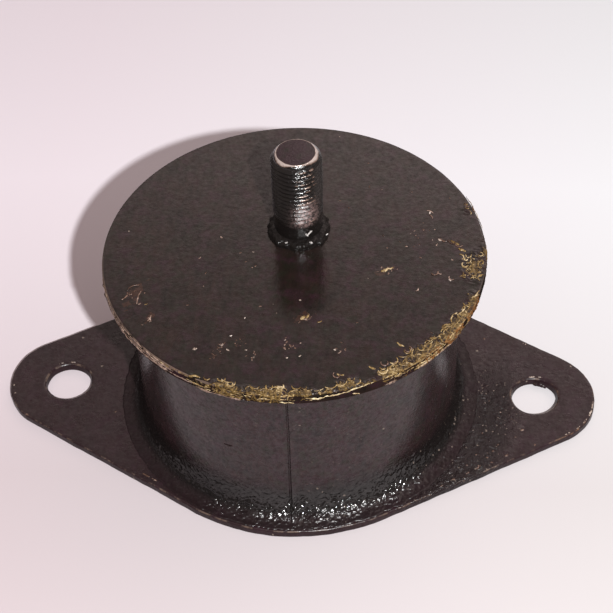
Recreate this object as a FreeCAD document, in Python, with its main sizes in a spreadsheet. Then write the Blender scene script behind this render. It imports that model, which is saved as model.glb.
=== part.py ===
import FreeCAD, Part
import math
import os
import Sketcher

# Engine mount: a rubber block bonded between a two-lug base plate and a round
# top plate, with one threaded stud welded into the top plate.
# Millimetres, +Z up. The origin is on the underside of the base plate, midway
# between its two bolt holes, on the axis of the block. +X runs through the holes.

DIMENSIONS = [
    # rubber block
    ("rubber_radius", 41.5, "straight side of the block"),
    ("rubber_height", 48.0, "between the two plates"),
    ("foot_reach", 5.5, "run-out over the base plate, beyond the straight side"),
    ("foot_edge", 0.8, "thickness of the run-out at its edge"),
    ("foot_flare", 10.0, "height of the concave flare above the run-out"),
    ("head_reach", 3.5, "flare under the top plate, beyond the straight side"),
    ("head_edge", 0.6, "thickness of the upper flare at its edge"),
    ("head_flare", 5.0, "height of the upper flare"),
    ("seam_width", 0.7, "parting line left by the two-part mould"),
    ("seam_height", 0.35, "how far the parting line stands proud"),
    # base plate
    ("base_margin", 1.0, "round middle of the base plate, beyond the run-out"),
    ("base_thickness", 2.3, "sheet steel"),
    ("base_edge", 0.4, "broken upper edge of the stamping"),
    ("hole_spacing", 125.4, "between the two bolt holes"),
    ("bolt_hole_diameter", 11.7, "clears a 7/16 in bolt"),
    ("lug_radius", 15.875, "round end of each lug, about its hole"),
    # top plate
    ("top_overhang", 2.625, "disc beyond the upper flare, 3-3/4 in across in all"),
    ("top_thickness", 3.175, "1/8 in plate"),
    ("top_edge", 0.35, "broken edges of the disc"),
    # stud
    ("stud_behind", 8.0, "stud axis behind the middle of the disc"),
    ("stud_beside", 0.7, "stud axis to the right of the middle"),
    ("stud_diameter", 12.7, "1/2 in thread, major diameter"),
    ("stud_length", 25.4, "above the top plate"),
    ("neck_diameter", 12.0, "plain neck between the thread and the plate"),
    ("neck_length", 5.0, "plain neck above the top plate"),
    ("stud_point", 1.5, "chamfer on the stud's end"),
    ("stud_hole_clearance", 0.05, "round the neck, each side"),
    # weld
    ("weld_radius", 8.5, "bead, and the countersink that it fills"),
    ("weld_depth", 2.2, "countersink below the top face of the plate"),
    ("weld_height", 2.4, "bead above the top face, against the neck"),
    ("weld_bulge", 0.45, "crown of the bead beyond its chord"),
]

# Sizes that several pieces share, as expressions on the sheet.
FOOT_RADIUS = "dims.rubber_radius + dims.foot_reach"
HEAD_RADIUS = "dims.rubber_radius + dims.head_reach"
BASE_RADIUS = FOOT_RADIUS + " + dims.base_margin"
TOP_RADIUS = HEAD_RADIUS + " + dims.top_overhang"
TOP_UNDERSIDE = "dims.base_thickness + dims.rubber_height"
STUD_HOLE_RADIUS = "(dims.neck_diameter / 2 + dims.stud_hole_clearance)"

doc = FreeCAD.newDocument("engine_mount")

sheet = doc.addObject("Spreadsheet::Sheet", "dims")
for row, (alias, value, note) in enumerate(DIMENSIONS, start=1):
    sheet.set(f"A{row}", alias)
    sheet.set(f"B{row}", str(value))
    sheet.set(f"C{row}", note)
    sheet.setAlias(f"B{row}", alias)
doc.recompute()

UP = FreeCAD.Vector(0, 0, 1)


def vec(x, y):
    return FreeCAD.Vector(x, y, 0)


def new_body(label, **place):
    """A body whose position is bound to the sheet, one expression for each axis."""
    body = doc.addObject("PartDesign::Body", label)
    body.Label = label
    for axis, formula in place.items():
        body.setExpression(f"Placement.Base.{axis}", formula)
    return body


def origin_plane(body, role):
    return next(item for item in body.Origin.OriginFeatures if item.Role == role)


def new_sketch(body, name, role):
    sketch = body.newObject("Sketcher::SketchObject", name)
    sketch.AttachmentSupport = [(origin_plane(body, role), "")]
    sketch.MapMode = "FlatFace"
    doc.recompute()
    return sketch


def constrain(sketch, *definition):
    return sketch.addConstraint(Sketcher.Constraint(*definition))


def drive(sketch, name, formula, *definition):
    """A named dimension, bound to the sheet."""
    index = constrain(sketch, *definition)
    sketch.renameConstraint(index, name)
    sketch.setExpression(f"Constraints.{name}", formula)


def add_feature(body, kind, name, profile=None):
    feature = body.newObject(f"PartDesign::{kind}", name)
    if profile is not None:
        feature.Profile = profile
    body.Tip = feature
    return feature


def pad(body, name, sketch, formula, midplane=False):
    block = add_feature(body, "Pad", name, sketch)
    block.Midplane = midplane
    block.setExpression("Length", formula)
    doc.recompute()
    return block


def revolve(body, name, sketch):
    """Full turn about the upright axis of the sketch."""
    turn = add_feature(body, "Revolution", name, sketch)
    turn.ReferenceAxis = (sketch, ["V_Axis"])
    turn.Angle = 360.0
    doc.recompute()
    return turn


def mirror(body, name, feature, role):
    copy = add_feature(body, "Mirrored", name)
    copy.Originals = [feature]
    copy.MirrorPlane = (origin_plane(body, role), [""])
    body.Tip = copy
    doc.recompute()
    return copy


def break_edges(body, name, base, formula, wanted):
    """Chamfer those edges of a feature that the test picks out."""
    chosen = [f"Edge{i}" for i, edge in enumerate(base.Shape.Edges, start=1) if wanted(edge)]
    chamfer = add_feature(body, "Chamfer", name)
    chamfer.Base = (base, chosen)
    chamfer.setExpression("Size", formula)
    doc.recompute()
    return chamfer


def is_level(edge, height):
    box = edge.BoundBox
    return abs(box.ZMin - height) < 1e-4 and abs(box.ZMax - height) < 1e-4


def is_circle(edge, radius):
    return isinstance(edge.Curve, Part.Circle) and abs(edge.Curve.Radius - radius) < 1e-4


def joined_lines(sketch, points):
    """A closed chain of straight lines, with its upright and level ones held so."""
    ids = []
    for start, end in zip(points, points[1:] + points[:1]):
        line = sketch.addGeometry(Part.LineSegment(start, end), False)
        if abs(start.x - end.x) < 1e-9:
            constrain(sketch, "Vertical", line)
        elif abs(start.y - end.y) < 1e-9:
            constrain(sketch, "Horizontal", line)
        ids.append(line)
    for first, second in zip(ids, ids[1:] + ids[:1]):
        constrain(sketch, "Coincident", first, 2, second, 1)
    return ids


# Base plate ------------------------------------------------------------------

def lug_outline(sketch):
    """Round middle and two round lugs, joined by four lines tangent to both."""
    lug_x = sheet.hole_spacing / 2
    big = sheet.rubber_radius + sheet.foot_reach + sheet.base_margin
    small = sheet.lug_radius
    lean = math.acos((big - small) / lug_x)
    far_lean = math.pi - lean

    def arc(x, radius, start, end):
        return Part.ArcOfCircle(Part.Circle(vec(x, 0), UP, radius), start, end)

    def on(x, radius, angle):
        return vec(x + radius * math.cos(angle), radius * math.sin(angle))

    curves = [
        arc(lug_x, small, -lean, lean),
        Part.LineSegment(on(lug_x, small, lean), on(0, big, lean)),
        arc(0, big, lean, far_lean),
        Part.LineSegment(on(0, big, far_lean), on(-lug_x, small, far_lean)),
        arc(-lug_x, small, far_lean, math.pi + lean),
        Part.LineSegment(on(-lug_x, small, -far_lean), on(0, big, -far_lean)),
        arc(0, big, -far_lean, -lean),
        Part.LineSegment(on(0, big, -lean), on(lug_x, small, -lean)),
    ]
    ids = [sketch.addGeometry(curve, False) for curve in curves]
    for first, second in zip(ids, ids[1:] + ids[:1]):
        constrain(sketch, "Tangent", first, 2, second, 1)
    right, back, left, front = ids[::2]
    constrain(sketch, "Coincident", back, 3, -1, 1)
    constrain(sketch, "Coincident", front, 3, -1, 1)
    constrain(sketch, "PointOnObject", right, 3, -1)
    constrain(sketch, "PointOnObject", left, 3, -1)
    constrain(sketch, "Equal", right, left)
    constrain(sketch, "Equal", back, front)
    drive(sketch, "lug", "dims.lug_radius", "Radius", right, small)
    drive(sketch, "middle", BASE_RADIUS, "Radius", back, big)
    half = "dims.hole_spacing / 2"
    drive(sketch, "right_lug", half, "DistanceX", -1, 1, right, 3, lug_x)
    drive(sketch, "left_lug", half, "DistanceX", left, 3, -1, 1, lug_x)


def bolt_hole_circle(sketch):
    lug_x = sheet.hole_spacing / 2
    diameter = sheet.bolt_hole_diameter
    circle = sketch.addGeometry(Part.Circle(vec(lug_x, 0), UP, diameter / 2), False)
    constrain(sketch, "PointOnObject", circle, 3, -1)
    drive(sketch, "from_middle", "dims.hole_spacing / 2", "DistanceX", -1, 1, circle, 3, lug_x)
    drive(sketch, "size", "dims.bolt_hole_diameter", "Diameter", circle, diameter)


def on_base_outline(edge):
    """Upper edge of the stamping, without the rims of the two holes."""
    is_hole = is_circle(edge, sheet.bolt_hole_diameter / 2)
    return is_level(edge, sheet.base_thickness) and not is_hole


base_plate = new_body("base_plate")
base_outline = new_sketch(base_plate, "base_outline", "XY_Plane")
lug_outline(base_outline)
pad(base_plate, "base_blank", base_outline, "dims.base_thickness")

bolt_hole_sketch = new_sketch(base_plate, "bolt_hole_circle", "XY_Plane")
bolt_hole_circle(bolt_hole_sketch)
bolt_hole = add_feature(base_plate, "Pocket", "bolt_hole", bolt_hole_sketch)
bolt_hole.Type = "ThroughAll"
bolt_hole.Midplane = True
doc.recompute()
both_holes = mirror(base_plate, "both_bolt_holes", bolt_hole, "YZ_Plane")
break_edges(base_plate, "base_upper_edge", both_holes, "dims.base_edge", on_base_outline)


# Rubber block ----------------------------------------------------------------

def block_section(sketch, proud=0.0, proud_formula=""):
    """Half section: thin run-out foot, concave flare, straight side, smaller
    flare, head. The outside may stand 'proud', which gives the parting line."""
    top = sheet.rubber_height
    side = sheet.rubber_radius + proud
    foot = side + sheet.foot_reach
    head = side + sheet.head_reach
    foot_top = sheet.foot_edge
    side_low = foot_top + sheet.foot_flare
    head_low = top - sheet.head_edge
    side_high = head_low - sheet.head_flare

    def flare(reach, rise, middle_y, start, end):
        """Arc that leaves the straight side tangentially and reaches outwards."""
        radius = (reach ** 2 + rise ** 2) / (2 * reach)
        turn = math.asin(min(rise / radius, 1.0))
        circle = Part.Circle(vec(side + radius, middle_y), UP, radius)
        return Part.ArcOfCircle(circle, math.pi + start * turn, math.pi + end * turn)

    axis = sketch.addGeometry(Part.LineSegment(vec(0, top), vec(0, 0)), False)
    bottom = sketch.addGeometry(Part.LineSegment(vec(0, 0), vec(foot, 0)), False)
    foot_side = sketch.addGeometry(Part.LineSegment(vec(foot, 0), vec(foot, foot_top)), False)
    low = sketch.addGeometry(flare(sheet.foot_reach, sheet.foot_flare, side_low, 0, 1), False)
    wall = sketch.addGeometry(Part.LineSegment(vec(side, side_low), vec(side, side_high)), False)
    high = sketch.addGeometry(flare(sheet.head_reach, sheet.head_flare, side_high, -1, 0), False)
    head_side = sketch.addGeometry(Part.LineSegment(vec(head, head_low), vec(head, top)), False)
    lid = sketch.addGeometry(Part.LineSegment(vec(head, top), vec(0, top)), False)

    constrain(sketch, "Coincident", axis, 2, bottom, 1)
    constrain(sketch, "Coincident", bottom, 1, -1, 1)
    constrain(sketch, "Coincident", bottom, 2, foot_side, 1)
    constrain(sketch, "Coincident", foot_side, 2, low, 2)
    constrain(sketch, "Tangent", low, 1, wall, 1)
    constrain(sketch, "Tangent", wall, 2, high, 2)
    constrain(sketch, "Coincident", high, 1, head_side, 1)
    constrain(sketch, "Coincident", head_side, 2, lid, 1)
    constrain(sketch, "Coincident", lid, 2, axis, 1)
    for upright in (axis, foot_side, wall, head_side):
        constrain(sketch, "Vertical", upright)
    for level in (bottom, lid):
        constrain(sketch, "Horizontal", level)

    drive(sketch, "side", "dims.rubber_radius" + proud_formula,
          "DistanceX", -1, 1, wall, 1, side)
    drive(sketch, "foot", FOOT_RADIUS + proud_formula, "DistanceX", -1, 1, bottom, 2, foot)
    drive(sketch, "head", HEAD_RADIUS + proud_formula, "DistanceX", -1, 1, head_side, 2, head)
    drive(sketch, "block", "dims.rubber_height", "DistanceY", -1, 1, axis, 1, top)
    drive(sketch, "foot_lip", "dims.foot_edge",
          "DistanceY", foot_side, 1, foot_side, 2, foot_top)
    drive(sketch, "foot_rise", "dims.foot_flare",
          "DistanceY", foot_side, 2, wall, 1, sheet.foot_flare)
    drive(sketch, "head_lip", "dims.head_edge",
          "DistanceY", head_side, 1, head_side, 2, sheet.head_edge)
    drive(sketch, "head_rise", "dims.head_flare",
          "DistanceY", wall, 2, head_side, 1, sheet.head_flare)


rubber_block = new_body("rubber_block", z="dims.base_thickness")
moulded_section = new_sketch(rubber_block, "moulded_section", "XZ_Plane")
block_section(moulded_section)
revolve(rubber_block, "moulded_block", moulded_section)

# The mould opened along X, so its parting line runs up the front and the back.
seam_section = new_sketch(rubber_block, "seam_section", "YZ_Plane")
block_section(seam_section, sheet.seam_height, " + dims.seam_height")
back_seam = pad(rubber_block, "back_seam", seam_section, "dims.seam_width", midplane=True)
mirror(rubber_block, "front_seam", back_seam, "XZ_Plane")


# Top plate -------------------------------------------------------------------

def disc_circle(sketch):
    radius = sheet.rubber_radius + sheet.head_reach + sheet.top_overhang
    circle = sketch.addGeometry(Part.Circle(vec(0, 0), UP, radius), False)
    constrain(sketch, "Coincident", circle, 3, -1, 1)
    drive(sketch, "disc", TOP_RADIUS, "Radius", circle, radius)


def stud_hole_centre(sketch):
    place = vec(sheet.stud_beside, sheet.stud_behind)
    circle = sketch.addGeometry(Part.Circle(place, UP, sheet.neck_diameter / 2), False)
    drive(sketch, "hole", STUD_HOLE_RADIUS, "Radius", circle, sheet.neck_diameter / 2)
    drive(sketch, "beside", "dims.stud_beside", "DistanceX", -1, 1, circle, 3, place.x)
    drive(sketch, "behind", "dims.stud_behind", "DistanceY", -1, 1, circle, 3, place.y)


top_plate = new_body("top_plate", z=TOP_UNDERSIDE)
disc_sketch = new_sketch(top_plate, "disc_circle", "XY_Plane")
disc_circle(disc_sketch)
disc_blank = pad(top_plate, "disc_blank", disc_sketch, "dims.top_thickness")
break_edges(top_plate, "disc_edges", disc_blank, "dims.top_edge",
            lambda edge: isinstance(edge.Curve, Part.Circle))

# The stud's hole is countersunk from above, and the weld fills the countersink.
stud_hole_sketch = new_sketch(top_plate, "stud_hole_centre", "XY_Plane")
stud_hole_sketch.setExpression("AttachmentOffset.Base.z", "dims.top_thickness")
stud_hole_centre(stud_hole_sketch)
doc.recompute()
stud_hole = add_feature(top_plate, "Hole", "stud_hole", stud_hole_sketch)
stud_hole.DepthType = "ThroughAll"
stud_hole.HoleCutType = "Countersink"
stud_hole.HoleCutCustomValues = True
stud_hole.setExpression("Diameter", "2 * " + STUD_HOLE_RADIUS)
stud_hole.setExpression("HoleCutDiameter", "2 * dims.weld_radius")
stud_hole.setExpression(
    "HoleCutCountersinkAngle",
    f"2 * atan((dims.weld_radius - {STUD_HOLE_RADIUS}) / dims.weld_depth)")
doc.recompute()


# Stud ------------------------------------------------------------------------

def stud_section(sketch):
    """Half section: neck through the plate, thread at its major size, point."""
    neck = sheet.neck_diameter / 2
    thread = sheet.stud_diameter / 2
    neck_top = sheet.top_thickness + sheet.neck_length
    run_out = neck_top + thread - neck
    top = sheet.top_thickness + sheet.stud_length
    points = [vec(0, 0), vec(neck, 0), vec(neck, neck_top), vec(thread, run_out),
              vec(thread, top - sheet.stud_point), vec(thread - sheet.stud_point, top),
              vec(0, top)]
    bottom, neck_side, shoulder, thread_side, point, end, axis = joined_lines(sketch, points)
    constrain(sketch, "Coincident", axis, 2, -1, 1)
    drive(sketch, "neck", "dims.neck_diameter / 2", "DistanceX", -1, 1, bottom, 2, neck)
    drive(sketch, "thread", "dims.stud_diameter / 2", "DistanceX", -1, 1, thread_side, 1, thread)
    drive(sketch, "neck_top", "dims.top_thickness + dims.neck_length",
          "DistanceY", -1, 1, neck_side, 2, neck_top)
    drive(sketch, "run_out", "(dims.stud_diameter - dims.neck_diameter) / 2",
          "DistanceY", shoulder, 1, shoulder, 2, run_out - neck_top)
    drive(sketch, "top", "dims.top_thickness + dims.stud_length",
          "DistanceY", -1, 1, end, 2, top)
    drive(sketch, "point_rise", "dims.stud_point",
          "DistanceY", point, 1, point, 2, sheet.stud_point)
    drive(sketch, "point_width", "dims.stud_point",
          "DistanceX", point, 2, point, 1, sheet.stud_point)


def on_stud_axis(label):
    return new_body(label, x="dims.stud_beside", y="dims.stud_behind", z=TOP_UNDERSIDE)


stud = on_stud_axis("stud")
stud_half = new_sketch(stud, "stud_half", "XZ_Plane")
stud_section(stud_half)
revolve(stud, "stud_turned", stud_half)


# Stud weld -------------------------------------------------------------------

def weld_section(sketch):
    """Half section: fills the countersink, then crowns up against the neck."""
    neck = sheet.neck_diameter / 2
    hole = neck + sheet.stud_hole_clearance
    wide = sheet.weld_radius
    face = sheet.top_thickness
    low = face - sheet.weld_depth
    high = face + sheet.weld_height
    chord = math.hypot(wide - neck, high - face)
    crown = vec((wide + neck) / 2 + (high - face) / chord * sheet.weld_bulge,
                (face + high) / 2 + (wide - neck) / chord * sheet.weld_bulge)

    corners = [vec(neck, high), vec(neck, low), vec(hole, low), vec(wide, face), crown]
    inner, land, cone, toe, cap = joined_lines(sketch, corners)
    drive(sketch, "neck", "dims.neck_diameter / 2", "DistanceX", -1, 1, inner, 1, neck)
    drive(sketch, "hole", STUD_HOLE_RADIUS, "DistanceX", -1, 1, land, 2, hole)
    drive(sketch, "wide", "dims.weld_radius", "DistanceX", -1, 1, cone, 2, wide)
    drive(sketch, "face", "dims.top_thickness", "DistanceY", -1, 1, cone, 2, face)
    drive(sketch, "depth", "dims.weld_depth", "DistanceY", cone, 1, cone, 2, face - low)
    drive(sketch, "rise", "dims.weld_height", "DistanceY", cone, 2, inner, 1, high - face)
    side = "(dims.weld_radius - dims.neck_diameter / 2)"
    span = f"sqrt({side} ^ 2 + dims.weld_height ^ 2)"
    drive(sketch, "crown_out",
          f"dims.neck_diameter / 2 + {side} / 2 + dims.weld_bulge * dims.weld_height / {span}",
          "DistanceX", -1, 1, toe, 2, crown.x)
    drive(sketch, "crown_up",
          f"dims.top_thickness + dims.weld_height / 2 + dims.weld_bulge * {side} / {span}",
          "DistanceY", -1, 1, toe, 2, crown.y)


stud_weld = on_stud_axis("stud_weld")
weld_half = new_sketch(stud_weld, "weld_half", "XZ_Plane")
weld_section(weld_half)
revolve(stud_weld, "weld_bead", weld_half)


# Checks and files ------------------------------------------------------------

doc.recompute()
for item in doc.Objects:
    if "Invalid" in item.State or "Error" in item.State:
        raise RuntimeError(f"{item.Name} failed: {item.State}")

os.makedirs("parts", exist_ok=True)
for body in (base_plate, rubber_block, top_plate, stud, stud_weld):
    shape = body.Shape
    if shape.isNull() or not shape.isValid() or len(shape.Solids) != 1:
        raise RuntimeError(f"{body.Label} is not one valid solid")
    shape.exportStep(f"parts/{body.Label}.step")
    box = shape.optimalBoundingBox(False)
    print(f"{body.Label}: {shape.Volume:.1f} mm3, x {box.XMin:.2f} to {box.XMax:.2f},"
          f" y {box.YMin:.2f} to {box.YMax:.2f}, z {box.ZMin:.2f} to {box.ZMax:.2f}")
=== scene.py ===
import math
import random

import bmesh
import bpy
from mathutils import Matrix, Vector, noise


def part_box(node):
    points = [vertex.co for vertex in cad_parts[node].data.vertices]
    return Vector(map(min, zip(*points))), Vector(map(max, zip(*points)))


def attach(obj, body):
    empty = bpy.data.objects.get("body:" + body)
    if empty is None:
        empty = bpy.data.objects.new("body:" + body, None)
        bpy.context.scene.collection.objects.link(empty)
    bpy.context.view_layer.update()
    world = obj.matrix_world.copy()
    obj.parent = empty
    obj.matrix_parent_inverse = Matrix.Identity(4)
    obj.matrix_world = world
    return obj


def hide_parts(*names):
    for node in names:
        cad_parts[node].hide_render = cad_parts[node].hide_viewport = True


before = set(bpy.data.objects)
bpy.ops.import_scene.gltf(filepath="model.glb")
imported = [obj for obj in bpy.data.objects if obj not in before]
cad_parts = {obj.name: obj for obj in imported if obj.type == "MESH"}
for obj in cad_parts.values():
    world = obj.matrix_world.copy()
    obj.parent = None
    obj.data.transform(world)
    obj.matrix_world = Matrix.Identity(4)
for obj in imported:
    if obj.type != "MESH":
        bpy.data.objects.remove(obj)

mm = 0.001
up = Vector((0, 0, 1))
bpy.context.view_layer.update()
plateLow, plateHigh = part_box("base_plate")
blockLow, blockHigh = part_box("rubber_block")
discLow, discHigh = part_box("top_plate")
studLow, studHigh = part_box("stud")
studAxis = Vector(((studLow.x + studHigh.x) / 2, (studLow.y + studHigh.y) / 2, 0))


# small helpers for nodes: a socket given as a value is linked, anything else is set
def put(tree, kind, inputs=None, **settings):
    node = tree.nodes.new("ShaderNode" + kind)
    for name, value in settings.items():
        setattr(node, name, value)
    for name, value in (inputs or {}).items():
        if isinstance(value, bpy.types.NodeSocket):
            tree.links.new(value, node.inputs[name])
        else:
            node.inputs[name].default_value = value
    return node


def sums(tree, operation, first, second=0.0, third=0.0, clamp=False):
    node = put(tree, "Math", {0: first, 1: second, 2: third}, operation=operation, use_clamp=clamp)
    return node.outputs[0]


def times(tree, first, second, clamp=False):
    return sums(tree, "MULTIPLY", first, second, clamp=clamp)


def timesPlus(tree, first, second, third):
    return sums(tree, "MULTIPLY_ADD", first, second, third)


def minus(tree, first, second):
    return sums(tree, "SUBTRACT", first, second)


def ramp(tree, value, low, high, toLow=0.0, toHigh=1.0):
    node = put(tree, "MapRange", {"Value": value, "From Min": low, "From Max": high,
                                  "To Min": toLow, "To Max": toHigh}, clamp=True)
    return node.outputs[0]


def blend(tree, mask, base, over):
    node = put(tree, "Mix", {0: mask, 6: base, 7: over}, data_type="RGBA")
    return node.outputs[2]


def speckle(tree, place, scale, detail=2.0, roughness=0.5, distortion=0.0):
    node = put(tree, "TexNoise", {"Vector": place, "Scale": scale, "Detail": detail,
                                  "Roughness": roughness, "Distortion": distortion})
    return node.outputs["Fac"]


def axes(tree, vector):
    return put(tree, "SeparateXYZ", {0: vector}).outputs


# a value kept on the mesh's own points
def stored(tree, name):
    return put(tree, "Attribute", attribute_name=name).outputs["Fac"]


def threeTones(tree, tone, dark, middle, pale, middleAt):
    node = put(tree, "ValToRGB", {"Fac": tone})
    stops = node.color_ramp.elements
    stops[0].color = dark
    stops[1].color = pale
    between = stops.new(middleAt)
    between.color = middle
    return node.outputs["Color"]


def newGroup(name, inputs, outputs):
    tree = bpy.data.node_groups.new(name, "ShaderNodeTree")
    for socketName, kind, value in inputs:
        socket = tree.interface.new_socket(socketName, in_out="INPUT", socket_type="NodeSocket" + kind)
        if kind == "Float":
            socket.default_value = value
    for socketName, kind in outputs:
        tree.interface.new_socket(socketName, in_out="OUTPUT", socket_type="NodeSocket" + kind)
    return tree, tree.nodes.new("NodeGroupInput").outputs, tree.nodes.new("NodeGroupOutput").inputs


def useGroup(tree, group, inputs):
    return put(tree, "Group", inputs, node_tree=group).outputs


# brushed-on paint: cloudy colour, faint strokes and an orange-peel surface
def makePaintGrain():
    tree, given, out = newGroup("paintGrain", [
        ("Place", "Vector", None), ("Cloud Size", "Float", 9.0), ("Peel Size", "Float", 1.1)],
        [("Clouds", "Float"), ("Peel", "Float")])
    cloudScale = sums(tree, "DIVIDE", 1000.0, given["Cloud Size"])
    peelScale = sums(tree, "DIVIDE", 1000.0, given["Peel Size"])
    strokes = put(tree, "Mapping", {"Vector": given["Place"], "Scale": (2.2, 0.35, 1.0)})
    wide = speckle(tree, given["Place"], cloudScale, 4.0, 0.6)
    brushed = speckle(tree, strokes.outputs[0], 420.0, 3.0, 0.6)
    both = timesPlus(tree, brushed, 0.45, times(tree, wide, 0.55))
    peel = speckle(tree, given["Place"], peelScale, 3.0, 0.55)
    tree.links.new(ramp(tree, both, 0.36, 0.64), out["Clouds"])
    tree.links.new(peel, out["Peel"])
    return tree


# bare metal along rounded edges, found from how far the surface leans
def makeEdgeWear():
    tree, given, out = newGroup("edgeWear", [
        ("Place", "Vector", None), ("Lean", "Vector", None), ("Amount", "Float", 0.5),
        ("Patch Size", "Float", 4.0)], [("Worn", "Float")])
    split = axes(tree, given["Lean"])
    rise = times(tree, split["Z"], split["Z"])
    edge = times(tree, times(tree, rise, 4.0), minus(tree, 1.0, rise))
    scale = sums(tree, "DIVIDE", 1000.0, given["Patch Size"])
    rubbed = speckle(tree, given["Place"], scale, 5.0, 0.7)
    limit = minus(tree, 0.85, times(tree, given["Amount"], 0.6))
    torn = times(tree, minus(tree, rubbed, limit), 9.0, clamp=True)
    tree.links.new(times(tree, torn, ramp(tree, edge, 0.25, 0.7)), out["Worn"])
    return tree


# loose dust and paint chips: small dots scattered by a cell pattern
def makeDustSpecks():
    tree, given, out = newGroup("dustSpecks", [
        ("Place", "Vector", None), ("Spacing", "Float", 4.0), ("Share", "Float", 0.3),
        ("Size", "Float", 0.12)], [("Specks", "Float"), ("Tone", "Float")])
    scale = sums(tree, "DIVIDE", 1000.0, given["Spacing"])
    warp = put(tree, "TexNoise", {"Vector": given["Place"], "Scale": 900.0, "Detail": 2.0})
    bent = put(tree, "VectorMath", {0: warp.outputs["Color"], 1: (0.0011, 0.0011, 0.0011)},
               operation="MULTIPLY")
    moved = put(tree, "VectorMath", {0: given["Place"], 1: bent.outputs[0]}, operation="ADD")
    cells = put(tree, "TexVoronoi", {"Vector": moved.outputs[0], "Scale": scale})
    shade = put(tree, "SeparateColor", {0: cells.outputs["Color"]})
    picked = sums(tree, "LESS_THAN", shade.outputs[0], given["Share"])
    size = times(tree, given["Size"], sums(tree, "ADD", shade.outputs[1], 0.35))
    dot = times(tree, minus(tree, size, cells.outputs["Distance"]), 30.0, clamp=True)
    tree.links.new(times(tree, dot, picked), out["Specks"])
    tree.links.new(shade.outputs[2], out["Tone"])
    return tree


# a ragged patch on a level surface, given by its middle, its half sizes and its turn
def makePatchMask():
    tree, given, out = newGroup("patchMask", [
        ("Place", "Vector", None), ("Middle X", "Float", 0.0), ("Middle Y", "Float", 0.0),
        ("Half Length", "Float", 3.0), ("Half Width", "Float", 1.0), ("Turn", "Float", 0.0),
        ("Ragged", "Float", 1.0)], [("Patch", "Float")])
    split = axes(tree, given["Place"])
    x = minus(tree, times(tree, split["X"], 1000.0), given["Middle X"])
    y = minus(tree, times(tree, split["Y"], 1000.0), given["Middle Y"])
    turn = sums(tree, "RADIANS", given["Turn"])
    cosine = sums(tree, "COSINE", turn)
    sine = sums(tree, "SINE", turn)
    along = sums(tree, "ADD", times(tree, x, cosine), times(tree, y, sine))
    across = minus(tree, times(tree, y, cosine), times(tree, x, sine))
    a = sums(tree, "POWER", sums(tree, "ABSOLUTE", sums(tree, "DIVIDE", along, given["Half Length"])), 2.0)
    b = sums(tree, "POWER", sums(tree, "ABSOLUTE", sums(tree, "DIVIDE", across, given["Half Width"])), 2.0)
    reach = sums(tree, "SQRT", sums(tree, "ADD", a, b))
    torn = speckle(tree, given["Place"], 620.0, 4.0, 0.65)
    edge = times(tree, minus(tree, torn, 0.5), given["Ragged"])
    inside = minus(tree, minus(tree, 1.0, reach), times(tree, edge, 4.0))
    tree.links.new(times(tree, inside, 5.0, clamp=True), out["Patch"])
    return tree


paintGrain = makePaintGrain()
edgeWear = makeEdgeWear()
dustSpecks = makeDustSpecks()
patchMask = makePatchMask()

finish = dict(
    paintDark=(0.009, 0.0072, 0.0062, 1), paintLight=(0.021, 0.0118, 0.0100, 1),
    rubberDark=(0.0115, 0.0088, 0.0090, 1), rubberLight=(0.0265, 0.0120, 0.0128, 1),
    rubberFoot=(0.0075, 0.0062, 0.0060, 1),
    bareSteel=(0.54, 0.45, 0.41, 1), brownSteel=(0.16, 0.095, 0.070, 1), wornEdge=(0.13, 0.090, 0.070, 1),
    crustDark=(0.016, 0.010, 0.007, 1), crust=(0.16, 0.100, 0.034, 1), crustPale=(0.56, 0.43, 0.22, 1),
    crustOrange=(0.19, 0.075, 0.026, 1), dust=(0.34, 0.27, 0.22, 1), rust=(0.050, 0.022, 0.014, 1),
    paintGreen=(0.0135, 0.0125, 0.0085, 1), paintPlum=(0.0260, 0.0118, 0.0160, 1),
    rubbedSteel=(0.24, 0.155, 0.145, 1),
)


def newMaterial(name):
    material = bpy.data.materials.new(name)
    material.use_nodes = True
    tree = material.node_tree
    shader = tree.nodes["Principled BSDF"]
    shader.inputs["IOR"].default_value = 1.5
    place = put(tree, "TexCoord").outputs["Object"]
    return material, tree, shader, place


def bump(tree, shader, height, depth, strength=1.0):
    node = put(tree, "Bump", {"Height": height, "Distance": depth * mm, "Strength": strength})
    tree.links.new(node.outputs[0], shader.inputs["Normal"])
    return node


# 1 on one sector of the mount: inner and outer radius in mm, middle azimuth and half angle
def sector(tree, place, innerRadius, outerRadius, middle, halfAngle):
    split = axes(tree, place)
    angle = sums(tree, "ARCTAN2", split["Y"], split["X"])
    off = sums(tree, "ABSOLUTE", minus(tree, angle, math.radians(middle)))
    flat = put(tree, "CombineXYZ", {0: split["X"], 1: split["Y"], 2: 0.0})
    radius = put(tree, "VectorMath", {0: flat.outputs[0]}, operation="LENGTH").outputs["Value"]
    inAngle = ramp(tree, off, math.radians(halfAngle), math.radians(halfAngle * 0.5))
    pastInner = ramp(tree, radius, innerRadius * mm - 2 * mm, innerRadius * mm + 2 * mm)
    beforeOuter = ramp(tree, radius, outerRadius * mm + 3 * mm, outerRadius * mm - 3 * mm)
    return times(tree, inAngle, times(tree, pastInner, beforeOuter))


# old paint is never one black: greenish and plum patches a few millimetres wide
def mottled(tree, place, colour):
    green = ramp(tree, speckle(tree, place, 330.0, 4.0, 0.7), 0.50, 0.66, 0.0, 0.8)
    moved = put(tree, "Mapping", {"Vector": place, "Location": (0.4, 0.9, 0.2)})
    plum = ramp(tree, speckle(tree, moved.outputs[0], 240.0, 4.0, 0.7), 0.50, 0.68, 0.0, 0.8)
    return blend(tree, plum, blend(tree, green, colour, finish["paintGreen"]), finish["paintPlum"])


def plateColour(tree, place, clouds):
    colour = blend(tree, clouds, finish["paintDark"], finish["paintLight"])
    return blend(tree, 0.5, mottled(tree, place, colour), finish["paintPlum"])


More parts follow.
